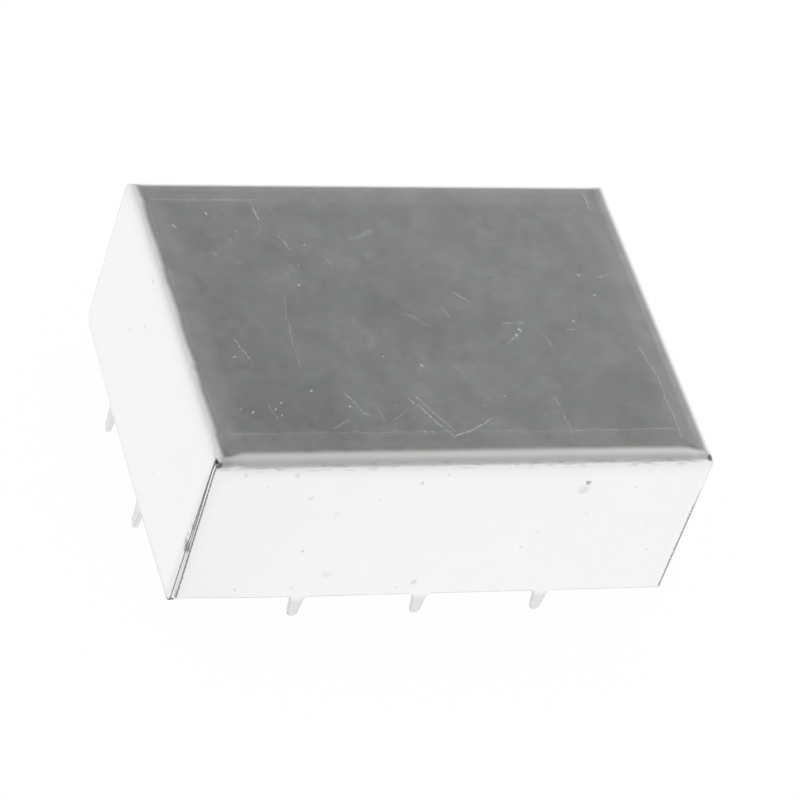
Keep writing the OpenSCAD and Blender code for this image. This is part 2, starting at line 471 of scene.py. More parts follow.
# folded sheet, in millimetres as in the part
can = {
    "halfWidth": 25.4,
    "halfDepth": 19.05,
    "height": 19.05,
    "thickness": 0.4,
    "foldRadius": 1.25,      # outside of the folds
    "seam": 0.1,             # between the end of a wall and the wall that covers it
    "footRadius": 1.0,       # lower corners of the side walls
    "edgeRound": 0.05,       # rounding of the cut edges
    "leftLean": (0.21, 0.28, -0.08),   # how far the left wall's lower edge stands out: front, middle, back
    "leftDrop": (0.75, 0.35),          # how far it hangs lower, at its front and back ends
    "leftEnd": (0.75, 0.16),           # its front end, in from the front wall's face: at fold and foot
    "frontEnd": (-0.10, 0.22),         # the front wall's left end, in from the left wall's face
    "frontEndRound": 0.3,    # how much of the fold's rounding that end follows
    "frontLift": (0.3, 12.0, 13.4),    # its lower left corner lies higher: by, from this far left, over
    "waveHeight": 0.02,
    "waveScale": 70.0,       # waves to a metre
    "waveSeed": 4.0,
    "waveStart": 0.5,        # the waves start this far below a fold
    "waveFade": 4.0,         # and grow over this length
    "footBand": 1.6,         # height of the rows that follow the lower edge
    "straight": (21.5, 14.5),          # columns run straight up to here, and spread beyond
    "foldSteps": 16,
    "wallStep": 0.5,
    "longStep": 1.3,         # between columns, on the long walls and on the side walls
    "sideStep": 0.8,
}
pin = {
    "pitch": 12.7,
    "onLongWall": 3,
    "onSideWall": 2,
    "length": 2.8,
    "rootWidth": 1.3,
    "tipWidth": 1.0,
    "rootRadius": 0.5,
}
corner = {                               # relief cuts at the front and back corners
    "front": {
        "top": math.radians(45.0),       # angles round the fold between which it is cut
        "foot": math.radians(58.0),
        "coveredReach": 0.70,            # how far it reaches along each fold
        "coveringReach": 0.20,
        # darkness of the cut's rim: painted shade in the cut
        "edgeShadeAndWear": 0.75,
    },
    "back": {
        "top": math.radians(60.0),
        "foot": math.radians(71.0),
        "coveredReach": 0.85,
        "coveringReach": 0.0,
        "edgeShadeAndWear": 0.10,
    },
    "slope": 0.356,                      # its fall along the fold
    "pullFade": 2.5,                     # rows near it follow that fall over this length along the fold
    "pullBelow": 1.8,                    # and over this length below it
}
crown = {                                # sag beside each fold line, its radius, and the length of its ends
    "front": (0.035, 1.82, 1.9),
    "back": (0.045, 1.10, 0.9),
    "left": (0.015, 1.14, 0.9),
    "right": (0.045, 1.15, 1.5),
    "frontCorner": (0.03, 1.20),
    "backCorner": (0.02, 1.10),
    "width": 2.2,
    "ripples": {"left": 0.09, "front": 0.02},   # uneven radius along a fold
    "rippleWaves": [(1.0, 0.83, 0.4), (0.6, 2.1, 0.0), (0.5, 4.3, 2.0)],   # strength, pace, shift
}
pressLines = [                           # on the top: place along y, span along x, depth, half width
    (-15.35, (-23.5, 23.0), 0.0035, 0.22),
    (16.15, (-23.8, -10.0), 0.0030, 0.22),
]
pressFade = 3.0                          # length over which they fade at their ends
nicks = [                                # on the left wall's front end: height, depth, half length
    (7.5, 0.16, 0.8),
    (9.2, 0.06, 0.3),
    (11.2, 0.10, 0.45),
]
edgeShadeAndWear = {                                 # how dark the cut edges are: bare steel, and painted shade in the seams, at the relief cuts, on the front wall's right end and under the left wall
    # the front wall's left end lies at the seam: bare steel with painted shade of the seam
    "frontLeft": 0.85,
    # the front wall's right end is painted darker and wider lower down: painted shade
    "frontRight": 0.75,
    "frontRightTop": 0.2,                # the same edge, near the fold
    "frontRightFade": (2.5, 4.0),        # where it darkens: from this far below the fold, over
    "frontRightWide": 1.8,               # how much wider its dark line is, where it is dark
    "darkFrom": 0.1,
    "coveringEnd": 0.1,
    # the covered ends lie in the seams: their dark line is painted shade of the gap
    "coveredEnd": 0.75,
    "pin": 0.05,
    "lowerEdge": 0.03,
    "leftFoot": 0.9,                     # painted shade under the left wall's lower front corner
    "leftFootFrom": 17.3,                # this far to the front
    "pinFrom": 0.3,                      # a pin starts this far below the lower edge
    "across": 2.5,                       # how fast the dark line fades through the sheet's thickness
}

fold = can["foldRadius"]
flatX = can["halfWidth"] - fold
flatY = can["halfDepth"] - fold
wallLength = can["height"] - fold
bandTop = wallLength - can["footBand"]
quarter = fold * math.pi / 2
coveredOff = can["thickness"] + can["seam"]
straightX, straightY = can["straight"]
noEdge = 2.0                             # distance from a cut edge that stands for none near
hair = 1e-6                              # allowance in comparing angles


def isLong(name):
    return name in ("front", "back")


def coversThere(name, end):
    # the front wall covers the side walls, and these cover the back wall
    return name == "front" or (name in ("left", "right") and end > 0)


def cornerOf(name, end):
    return "back" if name == "back" or (name != "front" and end > 0) else "front"


def reliefAngles(name, end):
    cut = corner[cornerOf(name, end)]
    return cut["top"], cut["foot"]


def reliefReach(name, end):
    return corner[cornerOf(name, end)]["coveringReach" if coversThere(name, end) else "coveredReach"]


def pinPlaces(name):
    count = pin["onLongWall" if isLong(name) else "onSideWall"]
    return [(i - (count - 1) / 2) * pin["pitch"] for i in range(count)]


def pinDrop(along, middle):
    off = abs(along - middle)
    tipHalf, rootHalf, rootR = pin["tipWidth"] / 2, pin["rootWidth"] / 2, pin["rootRadius"]
    flankEnd = pin["length"] - tipHalf
    if off <= tipHalf:
        return flankEnd + math.sqrt(tipHalf ** 2 - off ** 2)
    if off <= rootHalf:
        return flankEnd + (rootR - flankEnd) * (off - tipHalf) / (rootHalf - tipHalf)
    reach = rootHalf + rootR - off
    return rootR - math.sqrt(rootR ** 2 - reach ** 2) if reach > 0 else 0.0


def pinColumns(middle):
    tipHalf, rootHalf, rootR = pin["tipWidth"] / 2, pin["rootWidth"] / 2, pin["rootRadius"]
    offs = [tipHalf * math.sin(math.radians(a)) for a in (0, 20, 40, 60, 78, 90)]
    offs += [(tipHalf + rootHalf) / 2, rootHalf]
    offs += [rootHalf + rootR * (1 - math.cos(math.radians(a))) for a in (30, 60, 90)]
    return [middle + s * off for off in offs for s in (-1, 1)]


def spaced(marks, step):
    marks = sorted({round(mark, 4) for mark in marks})
    places = []
    for low, high in zip(marks, marks[1:]):
        count = max(1, math.ceil((high - low) / step))
        places += [low + (high - low) * i / count for i in range(count)]
    return places + [marks[-1]]


def spread(column, straight, outer, half):
    # columns past the straight part are squeezed or stretched to reach the end of their row
    if abs(column) <= straight:
        return column
    reach = straight + (abs(column) - straight) * (half - straight) / (outer - straight)
    return math.copysign(reach, column)


def unspread(place, straight, outer, half):
    return spread(place, straight, half, outer)


def nickDepth(height):
    return sum(depth * max(0.0, 1 - abs(height - z) / half) for z, depth, half in nicks)


def groove(x, y):
    depth = 0.0
    for place, (left, right), deep, half in pressLines:
        part = max(0.0, 1 - (abs(y - place) / half) ** 2)
        ends = max(0.0, min(1.0, (x - left) / pressFade, (right - x) / pressFade))
        depth += deep * part ** 2 * ends
    return depth


def foldSlack(radius, gap):
    # how far a fold of another radius lies inside the plain one, square to it
    extra = radius - fold
    if gap <= -max(extra, 0.0) or gap >= quarter + max(extra, 0.0):
        return 0.0
    if gap < 0 or gap > quarter:
        over = gap + extra if gap < 0 else quarter + extra - gap
        return radius - math.sqrt(radius ** 2 - over ** 2)
    across, up = math.sin(gap / fold), math.cos(gap / fold)
    if extra < 0 and min(across, up) * fold < -extra * max(across, up):
        return fold - fold / max(across, up)
    both = extra * (across + up)
    return fold + both - math.sqrt(both ** 2 + radius ** 2 - 2 * extra ** 2)


def crownDepth(side, gap, along):
    # the sheet sinks a little beside each fold line, on both sides of it
    sag, radius, fade = crown[side]
    cornerSag, cornerRadius = crown[cornerOf(side, along) + "Corner"]
    beside = max(0.0, 1 - (gap / crown["width"]) ** 2)
    inside = ((flatX if isLong(side) else flatY) - abs(along)) / fade
    inside = max(0.0, min(1.0, inside))
    inside = inside * inside * (3 - 2 * inside)
    ripple = sum(part * math.sin(waves * along + shift) for part, waves, shift in crown["rippleWaves"])
    radius += crown["ripples"].get(side, 0.0) * ripple
    sag = cornerSag + (sag - cornerSag) * inside
    return sag * beside ** 2 + foldSlack(cornerRadius + (radius - cornerRadius) * inside, gap)


def topCrown(x, y):
    gaps = {"front": flatY + y, "back": flatY - y, "left": flatX + x, "right": flatX - x}
    return max(crownDepth(side, -gap, x if isLong(side) else y) for side, gap in gaps.items())


def sheetColumns():
    # columns crowd at the corners, beside the pins, round the lower corners and across the press lines
    longEnds = (0.0, 0.06, 0.16, 0.35, 0.5, 0.7, 0.9, 1.1, 1.3, 1.5, 1.75, 2.0, 2.5, 3.0)
    sideEnds = (0.0, 1.25, 1.5, 1.75, 2.0, 2.5, 3.0)
    footAngles = (0, 15, 30, 45, 60, 75, 84, 90)
    acrossLine = (-1.4, -1, -0.67, -0.33, 0, 0.33, 0.67, 1, 1.4)
    longMarks = [s * (can["halfWidth"] - e) for e in longEnds for s in (-1, 1)]
    for middle in pinPlaces("front"):
        longMarks += pinColumns(middle)
    sideEnd = can["halfDepth"] - coveredOff
    foot = [can["footRadius"] * (1 - math.sin(math.radians(a))) for a in footAngles]
    sideMarks = [s * (can["halfDepth"] - e) for e in sideEnds for s in (-1, 1)]
    sideMarks += [-unspread(sideEnd - f, straightY, can["halfDepth"], sideEnd) for f in foot]
    sideMarks += [can["halfDepth"] - f for f in foot]
    for line in pressLines:
        place, half = line[0], line[-1]
        sideMarks += [unspread(place + off * half, straightY, can["halfDepth"], flatY) for off in acrossLine]
    for middle in pinPlaces("left"):
        sideMarks += pinColumns(middle)
    return spaced(longMarks, can["longStep"]), spaced(sideMarks, can["sideStep"])


def flangeRows():
    # even steps round the fold, save near the relief cuts, which have rows of their own
    rimStep, clearOfCut = math.radians(0.6), math.radians(2.0)
    footParts = (0.22, 0.42, 0.6, 0.75, 0.86, 0.93, 0.97, 1.0)
    cuts = []
    for top, foot in (reliefAngles("front", 1), reliefAngles("back", 1)):
        cuts += [top, top + rimStep, foot - rimStep, foot]
    steps = [math.pi / 2 * i / can["foldSteps"] for i in range(1, can["foldSteps"] + 1)]
    steps = [s for s in steps if min(abs(s - cut) for cut in cuts) > clearOfCut]
    rows = [("fold", s) for s in sorted(steps + cuts)]
    rows += [("wall", rest) for rest in spaced([0.0, bandTop], can["wallStep"])[1:]]
    return rows + [("foot", part) for part in footParts]


def mitreReach(name, end, angle, depth):
    # how far the mitre lies past the fold line
    sunk = crownDepth(name, fold * angle, end * can["halfWidth"])
    return (fold - depth - sunk) * math.sin(angle)


def endOff(name, end, kind, value, depth):
    # how far a row stops short of the can's square corner
    angle = value if kind == "fold" else math.pi / 2
    reliefTop, reliefFoot = reliefAngles(name, end)
    if kind == "fold" and angle <= reliefTop + hair:
        return fold - mitreReach(name, end, angle, depth)
    off = fold * (1 - math.sin(angle))
    if kind == "fold" and angle < reliefFoot - hair:
        return off + reliefReach(name, end)
    down = {"fold": 0.0, "wall": value, "foot": bandTop + value * (wallLength - bandTop)}[kind] / wallLength
    if name == "front" and end < 0:
        atFold, atFoot = can["frontEnd"]
        turned = math.sin(angle) ** 8    # comes in only where the fold has nearly turned down
        return can["frontEndRound"] * off + atFold * turned + (atFoot - atFold) * down
    if coversThere(name, end):
        return off
    if name == "left" and end < 0:
        nick = nickDepth(wallLength - value) if kind == "wall" else 0.0
        atFold, atFoot = can["leftEnd"]
        return nick + atFold + (atFoot - atFold) * down
    return coveredOff


def footReach(name, along, half, drop):
    # how far the wall or its pin reaches below the plain lower edge
    lower = drop + max(pinDrop(along, middle) for middle in pinPlaces(name))
    lift, liftFrom, liftLength = can["frontLift"]
    if name == "front" and along < -liftFrom:
        lower -= lift * ((-along - liftFrom) / liftLength) ** 2
    reach = abs(along) - (half - can["footRadius"])
    if not isLong(name) and reach > 0:
        lower -= can["footRadius"] - math.sqrt(max(can["footRadius"] ** 2 - reach ** 2, 0.0))
    return lower


def reliefPull(name, along, angle, out, depth):
    # the relief falls along the fold, so the rows near it are pulled down
    end = math.copysign(1, along)
    outer = can["halfWidth"] if isLong(name) else can["halfDepth"]
    inward = max(outer - fold + mitreReach(name, end, angle, depth) - abs(along), 0.0)
    inward = inward if inward > 1e-9 else 0.0
    reach = reliefReach(name, end)
    pull = inward if inward < reach else reach * max(0.0, 1 - (inward - reach) / corner["pullFade"])
    upper, lower = [fold * cut for cut in reliefAngles(name, end)]
    window = out / upper if out < upper else max(0.0, min(1.0, 1 - (out - lower) / corner["pullBelow"]))
    return corner["slope"] * pull * window


def flangePoint(name, column, kind, value, depth):
    outer = can["halfWidth"] if isLong(name) else can["halfDepth"]
    straight = straightX if isLong(name) else straightY
    end = 1 if column > 0 else -1
    half = outer - endOff(name, end, kind, value, depth)
    along = spread(column, straight, outer, half)
    angle = value if kind == "fold" else math.pi / 2
    drop = 0.0
    if name == "left":
        atFront, atBack = can["leftDrop"]
        drop = atFront + (atBack - atFront) * (along + can["halfDepth"]) / (2 * can["halfDepth"])
    longer = (wallLength + drop) / wallLength
    rest = 0.0
    if kind == "wall":
        rest = value * longer
    elif kind == "foot":
        lower = footReach(name, along, half, drop)
        rest = bandTop * longer + value * (wallLength + lower - bandTop * longer)
    out = fold * angle + rest
    out += reliefPull(name, along, angle, out, depth)
    sunk = crownDepth(name, out, along)
    x, y = {"front": (along, -flatY - out), "back": (along, flatY + out),
            "left": (-flatX - out, along), "right": (flatX + out, along)}[name]
    panel = max(0.0, min(1.0, (rest - can["waveStart"]) / can["waveFade"]))
    return x, y, panel, depth + sunk


def addPoint(sheet, x, y, depth, alongY, panel):
    sheet["places"].append((x, y, -depth))
    sheet["foldAlongY"].append(1.0 if alongY else 0.0)
    sheet["panel"].append(panel)
    sheet["edgeGap"].append(noEdge)
    sheet["edgeWearAndShade"].append(0.0)
    return len(sheet["places"]) - 1


def addFaces(sheet, quads, flip):
    sheet["faces"] += [quad[::-1] if flip else quad for quad in quads]


def topPanel(sheet, longColumns, sideColumns):
    topX = [spread(c, straightX, can["halfWidth"], flatX) for c in longColumns]
    topY = [spread(c, straightY, can["halfDepth"], flatY) for c in sideColumns]
    fade = can["waveFade"]
    grids = []
    for layer, depth in enumerate((0.0, can["thickness"])):
        grid = []
        for x in topX:
            line = []
            for y in topY:
                panel = min(1.0, (flatX - abs(x)) / fade, (flatY - abs(y)) / fade)
                sunk = topCrown(x, y) + groove(x, y)
                line.append(addPoint(sheet, x, y, depth + sunk, False, panel))
            grid.append(line)
        grids.append(grid)
        quads = []
        for i in range(len(topX) - 1):
            for j in range(len(topY) - 1):
                quads.append((grid[i][j], grid[i + 1][j], grid[i + 1][j + 1], grid[i][j + 1]))
        addFaces(sheet, quads, layer == 1)
    return grids


def flange(sheet, name, rows, columns, topGrids):
    grids = []
    for layer, depth in enumerate((0.0, can["thickness"])):
        flat = topGrids[layer]
        first = {"front": [line[0] for line in flat], "back": [line[-1] for line in flat],
                 "left": flat[0], "right": flat[-1]}[name]
        grid = [list(first)]
        for kind, value in rows:
            line = []
            for column in columns:
                x, y, panel, sunk = flangePoint(name, column, kind, value, depth)
                line.append(addPoint(sheet, x, y, sunk, isLong(name), panel))
            grid.append(line)
        grids.append(grid)
        quads = []
        for r in range(len(rows)):
            for c in range(len(columns) - 1):
                quads.append((grid[r][c], grid[r][c + 1], grid[r + 1][c + 1], grid[r + 1][c]))
        addFaces(sheet, quads, (name in ("front", "right")) == (layer == 0))
    return grids


def cutSteps(name, rows, columns):
    # along the cut edge: from the end of the weld down one end, along the foot and up the other end
    last, right = len(rows), len(columns) - 1
    welds = {}
    for end in (-1, 1):
        top = reliefAngles(name, end)[0]
        welds[end] = next(i for i, row in enumerate(rows) if row[1] >= top - hair) + 1
    steps = [(r, 0) for r in range(welds[-1], last)] + [(last, c) for c in range(right + 1)]
    steps += [(r, right) for r in range(last - 1, welds[1] - 1, -1)]
    if name in ("back", "left"):
        steps.reverse()
    return steps


def edgeToneAt(name, along, row, atEnd):
    # how dark the cut edge is at a point, from wear and painted shade, and whether it is dark through the
    # whole thickness
    kind, value = row
    inRelief = atEnd and kind == "fold" and value < reliefAngles(name, along)[1] + hair
    under = name == "left" and not atEnd and along < -edgeShadeAndWear["leftFootFrom"]
    if inRelief:
        darkness = corner[cornerOf(name, along)]["edgeShadeAndWear"]
    elif atEnd and name == "front" and along < 0:
        darkness = edgeShadeAndWear["frontLeft"]
    elif atEnd and name == "front":
        fadeFrom, fadeLength = edgeShadeAndWear["frontRightFade"]
        low = {"fold": 0.0, "wall": (value - fadeFrom) / fadeLength, "foot": 1.0}[kind]
        low = max(0.0, min(1.0, low))
        darkness = edgeShadeAndWear["frontRightTop"] + (edgeShadeAndWear["frontRight"] - edgeShadeAndWear["frontRightTop"]) * low
    elif atEnd:
        darkness = edgeShadeAndWear["coveringEnd" if coversThere(name, along) else "coveredEnd"]
    else:
        onPin = max(pinDrop(along, middle) for middle in pinPlaces(name)) > edgeShadeAndWear["pinFrom"]
        darkness = edgeShadeAndWear["pin" if onPin else "leftFoot" if under else "lowerEdge"]
    return darkness, inRelief or under


def markEdges(sheet, name, grids, outline, edgeTones):
    # each point of a flange gets its distance from the cut edge, and how dark the edge is there, from wear
    # and painted shade
    ends = numpy.array([tuple(point) for point in outline])
    starts, spans = ends[:-1], ends[1:] - ends[:-1]
    spanTones = (numpy.array(edgeTones[:-1]) + numpy.array(edgeTones[1:])) / 2
    spanSquares = numpy.maximum((spans ** 2).sum(axis=1), 1e-12)
    for grid in grids:
        for line in grid[1:]:
            points = numpy.array([sheet["places"][index][:2] for index in line])
            fromStart = points[:, None, :] - starts[None, :, :]
            part = numpy.clip((fromStart * spans).sum(axis=2) / spanSquares, 0.0, 1.0)
            gaps = numpy.sqrt(((fromStart - part[:, :, None] * spans) ** 2).sum(axis=2))
            nearest = gaps.argmin(axis=1)
            for i, index in enumerate(line):
                darkness = float(spanTones[nearest[i]])
                isWide = name == "front" and points[i][0] > 0 and darkness > edgeShadeAndWear["darkFrom"]
                sheet["edgeWearAndShade"][index] = darkness
                wide = edgeShadeAndWear["frontRightWide"] if isWide else 1.0
                sheet["edgeGap"][index] = float(gaps[i, nearest[i]]) / wide


def insetsOf(outline):
    # directions from each point of the cut edge into the sheet, none at its two ends
    none = Vector((0.0, 0.0))
    insets = [none]
    for before, point, after in zip(outline, outline[1:], outline[2:]):
        coming = (point - before).normalized()
        going = (after - point).normalized()
        normal = Vector((-coming.y - going.y, coming.x + going.x)).normalized()
        square = Vector((-coming.y, coming.x))
        insets.append(normal / max(0.5, normal.dot(square)))
    return insets + [none]


def weldEnd(name, place, depth):
    # the cut edge starts and ends on the mitre, at every depth in the sheet
    side = place.x if isLong(name) else place.y
    reach = flatX if isLong(name) else flatY
    reach += mitreReach(name, math.copysign(1, side), reliefAngles(name, side)[0], depth)
    along = math.copysign(reach, side)
    return Vector((along, place.y)) if isLong(name) else Vector((place.x, along))


def cutEdge(sheet, name, rows, columns, grids):
    places = sheet["places"]
    steps = cutSteps(name, rows, columns)
    chains = [[grid[r][c] for r, c in steps] for grid in grids]
    outline, inner = [[Vector(places[index][:2]) for index in chain] for chain in chains]
    edgeTones, darks = [], []
    for (r, c), point in zip(steps, outline):
        along = point.x if isLong(name) else point.y
        darkness, dark = edgeToneAt(name, along, rows[r - 1], c in (0, len(columns) - 1))
        edgeTones.append(darkness)
        darks.append(dark)
    markEdges(sheet, name, grids, outline, edgeTones)

    # rings of points through the thickness, rounded at both faces
    insets = insetsOf(outline)
    edgeRound, thick = can["edgeRound"], can["thickness"]
    diagonal = edgeRound * 0.293         # how far the middle of a rounding lies from its square corner
    profile = [(diagonal, diagonal), (0.0, edgeRound), (0.0, thick / 2),
               (0.0, thick - edgeRound), (diagonal, thick - diagonal)]
    rings = [chains[0]]
    for back, depth in profile:
        ring = []
        for i, index in enumerate(chains[0]):
            place = outline[i].lerp(inner[i], depth / thick)
            if i in (0, len(outline) - 1):
                place = weldEnd(name, place, depth)
            place = place + insets[i] * back
            sunk = depth - places[index][2]
            ring.append(addPoint(sheet, place.x, place.y, sunk, isLong(name), sheet["panel"][index]))
            sheet["edgeGap"][-1] = 0.0 if darks[i] else edgeShadeAndWear["across"] * max(0.0, depth - edgeRound * 0.5)
            sheet["edgeWearAndShade"][-1] = edgeTones[i]
        rings.append(ring)
    rings.append(chains[1])
    rimGaps = (0.02, 1.0)                # the rim outside is dark, and the one inside isn't
    for chain, edgeGap in zip(chains, rimGaps):
        for i, index in enumerate(chain):
            x, y, z = places[index]
            places[index] = (x + insets[i].x * edgeRound, y + insets[i].y * edgeRound, z)
            sheet["edgeGap"][index] = edgeGap
            sheet["edgeWearAndShade"][index] = edgeTones[i]
    for upper, lower in zip(rings, rings[1:]):
        for i in range(len(upper) - 1):
            sheet["faces"].append((upper[i], lower[i], lower[i + 1], upper[i + 1]))


def blankSheet():
    attributes = ("foldAlongY", "panel", "edgeGap", "edgeWearAndShade")
    sheet = {name: [] for name in ("places", "faces", *attributes)}
    longColumns, sideColumns = sheetColumns()
    rows = flangeRows()
    topGrids = topPanel(sheet, longColumns, sideColumns)
    for name in ("front", "back", "left", "right"):
        columns = longColumns if isLong(name) else sideColumns
        grids = flange(sheet, name, rows, columns, topGrids)
        cutEdge(sheet, name, rows, columns, grids)
    mesh = bpy.data.meshes.new("blankSheet")
    mesh.from_pydata([tuple(value * mm for value in place) for place in sheet["places"]], [], sheet["faces"])
    for name in attributes:
        layer = mesh.attributes.new(name, "FLOAT", "POINT")
        layer.data.foreach_set("value", sheet[name])
    print("blank sheet:", len(sheet["places"]), "points")
    return mesh


# what the folding tree takes in, in metres apart from the seed
foldInputs = {
    "Half width": can["halfWidth"] * mm,
    "Half depth": can["halfDepth"] * mm,
    "Height": can["height"] * mm,
    "Fold radius": fold * mm,
    "Lean front": can["leftLean"][0] * mm,
    "Lean middle": can["leftLean"][1] * mm,
    "Lean back": can["leftLean"][2] * mm,
    "Wave height": can["waveHeight"] * mm,
    "Wave seed": can["waveSeed"],
}


def foldTree(material):
    tree = bpy.data.node_groups.new("foldSheet", "GeometryNodeTree")
    tree.interface.new_socket("Geometry", in_out="INPUT", socket_type="NodeSocketGeometry")
    for name in foldInputs:
        tree.interface.new_socket(name, in_out="INPUT", socket_type="NodeSocketFloat")
    tree.interface.new_socket("Geometry", in_out="OUTPUT", socket_type="NodeSocketGeometry")
    given = tree.nodes.new("NodeGroupInput").outputs
    result = tree.nodes.new("NodeGroupOutput")

    def named(attribute):
        node = tree.nodes.new("GeometryNodeInputNamedAttribute")
        node.data_type = "FLOAT"
        node.inputs["Name"].default_value = attribute
        return node.outputs["Attribute"]

    def pick(factor, low, high):
        return mathOf(tree, "MULTIPLY_ADD", factor, minusOf(tree, high, low), low)

    position = tree.nodes.new("GeometryNodeInputPosition").outputs[0]
    store = tree.nodes.new("GeometryNodeStoreNamedAttribute")
    store.data_type = "FLOAT_VECTOR"
    store.domain = "POINT"
    store.inputs["Name"].default_value = "sheetPlace"
    tree.links.new(given["Geometry"], store.inputs["Geometry"])
    tree.links.new(position, store.inputs["Value"])
    x, y, z = splitOf(tree, position)
    alongY = named("foldAlongY")

    # slight waves in the panels
    flat = tree.nodes.new("ShaderNodeCombineXYZ")
    tree.links.new(x, flat.inputs[0])
    tree.links.new(y, flat.inputs[1])
    wave = tree.nodes.new("ShaderNodeTexNoise")
    wave.noise_dimensions = "4D"
    tree.links.new(flat.outputs[0], wave.inputs["Vector"])
    tree.links.new(given["Wave seed"], wave.inputs["W"])
    wave.inputs["Scale"].default_value = can["waveScale"]
    wave.inputs["Detail"].default_value = 1.0
    lift = timesOf(tree, minusOf(tree, wave.outputs["Fac"], 0.5), given["Wave height"])
    depth = mathOf(tree, "MULTIPLY_ADD", lift, named("panel"), z)

    # the part of the sheet past a fold line goes round the fold, then straight down
    across = pick(alongY, x, y)
    outward = mathOf(tree, "ABSOLUTE", across)
    level = minusOf(tree, pick(alongY, given["Half width"], given["Half depth"]), given["Fold radius"])
    past = largerOf(tree, minusOf(tree, outward, level), 0.0)
    angle = mathOf(tree, "MINIMUM", mathOf(tree, "DIVIDE", past, given["Fold radius"]), math.pi / 2)
    down = minusOf(tree, past, timesOf(tree, given["Fold radius"], math.pi / 2))
    down = largerOf(tree, down, 0.0)
    radius = mathOf(tree, "ADD", given["Fold radius"], depth)
    reach = mathOf(tree, "MINIMUM", outward, level)
    reach = mathOf(tree, "MULTIPLY_ADD", radius, mathOf(tree, "SINE", angle), reach)
    wallDown = minusOf(tree, given["Height"], given["Fold radius"])

    # the left wall's lean follows one curve through its values at the front, the middle and the back
    back = mathOf(tree, "DIVIDE", y, timesOf(tree, given["Half depth"], 2.0))
    back = mathOf(tree, "ADD", back, 0.5)
    front = minusOf(tree, 1.0, back)
    atMiddle = timesOf(tree, timesOf(tree, front, back), 4.0)
    atFront = timesOf(tree, front, minusOf(tree, front, back))
    atBack = timesOf(tree, back, minusOf(tree, back, front))
    lean = timesOf(tree, given["Lean middle"], atMiddle)
    lean = mathOf(tree, "MULTIPLY_ADD", given["Lean front"], atFront, lean)
    lean = mathOf(tree, "MULTIPLY_ADD", given["Lean back"], atBack, lean)
    lean = timesOf(tree, mathOf(tree, "DIVIDE", down, wallDown), lean)
    isLeft = timesOf(tree, mathOf(tree, "LESS_THAN", across, 0.0), minusOf(tree, 1.0, alongY))
    reach = mathOf(tree, "MULTIPLY_ADD", lean, isLeft, reach)
    bent = timesOf(tree, mathOf(tree, "SIGN", across), reach)
    height = mathOf(tree, "MULTIPLY_ADD", radius, mathOf(tree, "COSINE", angle), wallDown)
    height = minusOf(tree, height, down)

    folded = tree.nodes.new("ShaderNodeCombineXYZ")
    tree.links.new(pick(alongY, bent, x), folded.inputs[0])
    tree.links.new(pick(alongY, y, bent), folded.inputs[1])
    tree.links.new(height, folded.inputs[2])
    move = tree.nodes.new("GeometryNodeSetPosition")
    tree.links.new(store.outputs["Geometry"], move.inputs["Geometry"])
    tree.links.new(folded.outputs[0], move.inputs["Position"])

    merge = tree.nodes.new("GeometryNodeMergeByDistance")
    merge.inputs["Distance"].default_value = 1e-6
    smooth = tree.nodes.new("GeometryNodeSetShadeSmooth")
    realize = tree.nodes.new("GeometryNodeRealizeInstances")
    finish = tree.nodes.new("GeometryNodeSetMaterial")
    finish.inputs["Material"].default_value = material
    chain = [move, merge, smooth, realize, finish]
    for before, after in zip(chain, chain[1:]):
        tree.links.new(before.outputs["Geometry"], after.inputs["Geometry"])
    tree.links.new(finish.outputs["Geometry"], result.inputs["Geometry"])
    return tree


def makeCan(material):
    piece = bpy.data.objects.new("folded_sheet", blankSheet())
    bpy.context.scene.collection.objects.link(piece)
    modifier = piece.modifiers.new("foldSheet", "NODES")
    tree = foldTree(material)
    modifier.node_group = tree
    for item in tree.interface.items_tree:
        if item.in_out == "INPUT" and item.name in foldInputs:
            modifier[item.identifier] = foldInputs[item.name]
    graph = bpy.context.evaluated_depsgraph_get()
    folded = piece.evaluated_get(graph)
    mesh = bpy.data.meshes.new_from_object(folded, preserve_all_data_layers=True, depsgraph=graph)
    piece.modifiers.clear()
    piece.data = mesh
    mesh.name = "folded_sheet"
    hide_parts("shield_can")
    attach(piece, "root")
    print("folded sheet:", len(mesh.vertices), "points,", len(mesh.polygons), "faces")


# floor, light and camera
studio = {
    "floorLevel": -0.0036,
    "floorSize": 3.0,
    "mattWhite": 0.95,           # the floor's colour where it only scatters light
    "floorWhite": 0.98,          # share of plain white that the camera sees
    "floorMirror": 1.0,          # the same for what metal mirrors of the floor near the can
    "floorFar": 0.70,            # and further off
    "mirrorFade": (0.028, 0.075),    # from and to this far out from the can
    "underCan": (-0.009, -0.005),    # the floor only scatters light further in than this
    "sky": 0.44,                 # what metal mirrors: brightness of the sky,
    "zenith": 0.72,              # right above
    "horizon": 1.0,              # and low down
    "zenithRise": (0.60, 0.88),
    "horizonFall": (0.06, 0.34),
    "darkTint": (0.95, 1.0, 0.975),
    # patches of that sky: where they lie, how bright they are, and the degrees over which they fade
    "darkPart": {"towards": (0.190, 0.500, 0.800), "level": 0.0, "inner": 0.0, "outer": 41.6},
    "leftPart": {"towards": (-0.64, 0.52, 0.57), "level": 0.76, "inner": 10.0, "outer": 38.0},
    "frontPart": {"towards": (0.30, -0.67, 0.68), "level": 0.40, "inner": 8.0, "outer": 38.0},
}
photoView = {                        # angles in degrees, lens and sensor in millimetres, the rest in metres
    "azimuth": -29.35,
    "elevation": 42.57,
    "roll": 20.23,
    "distance": 0.4541,
    "lens": 204.5,
    "offset": (-0.00287, 0.00506),   # where the can's middle lies from the picture's middle, right and down
    "sensor": 36.0,
    "clipStart": 0.01,
}


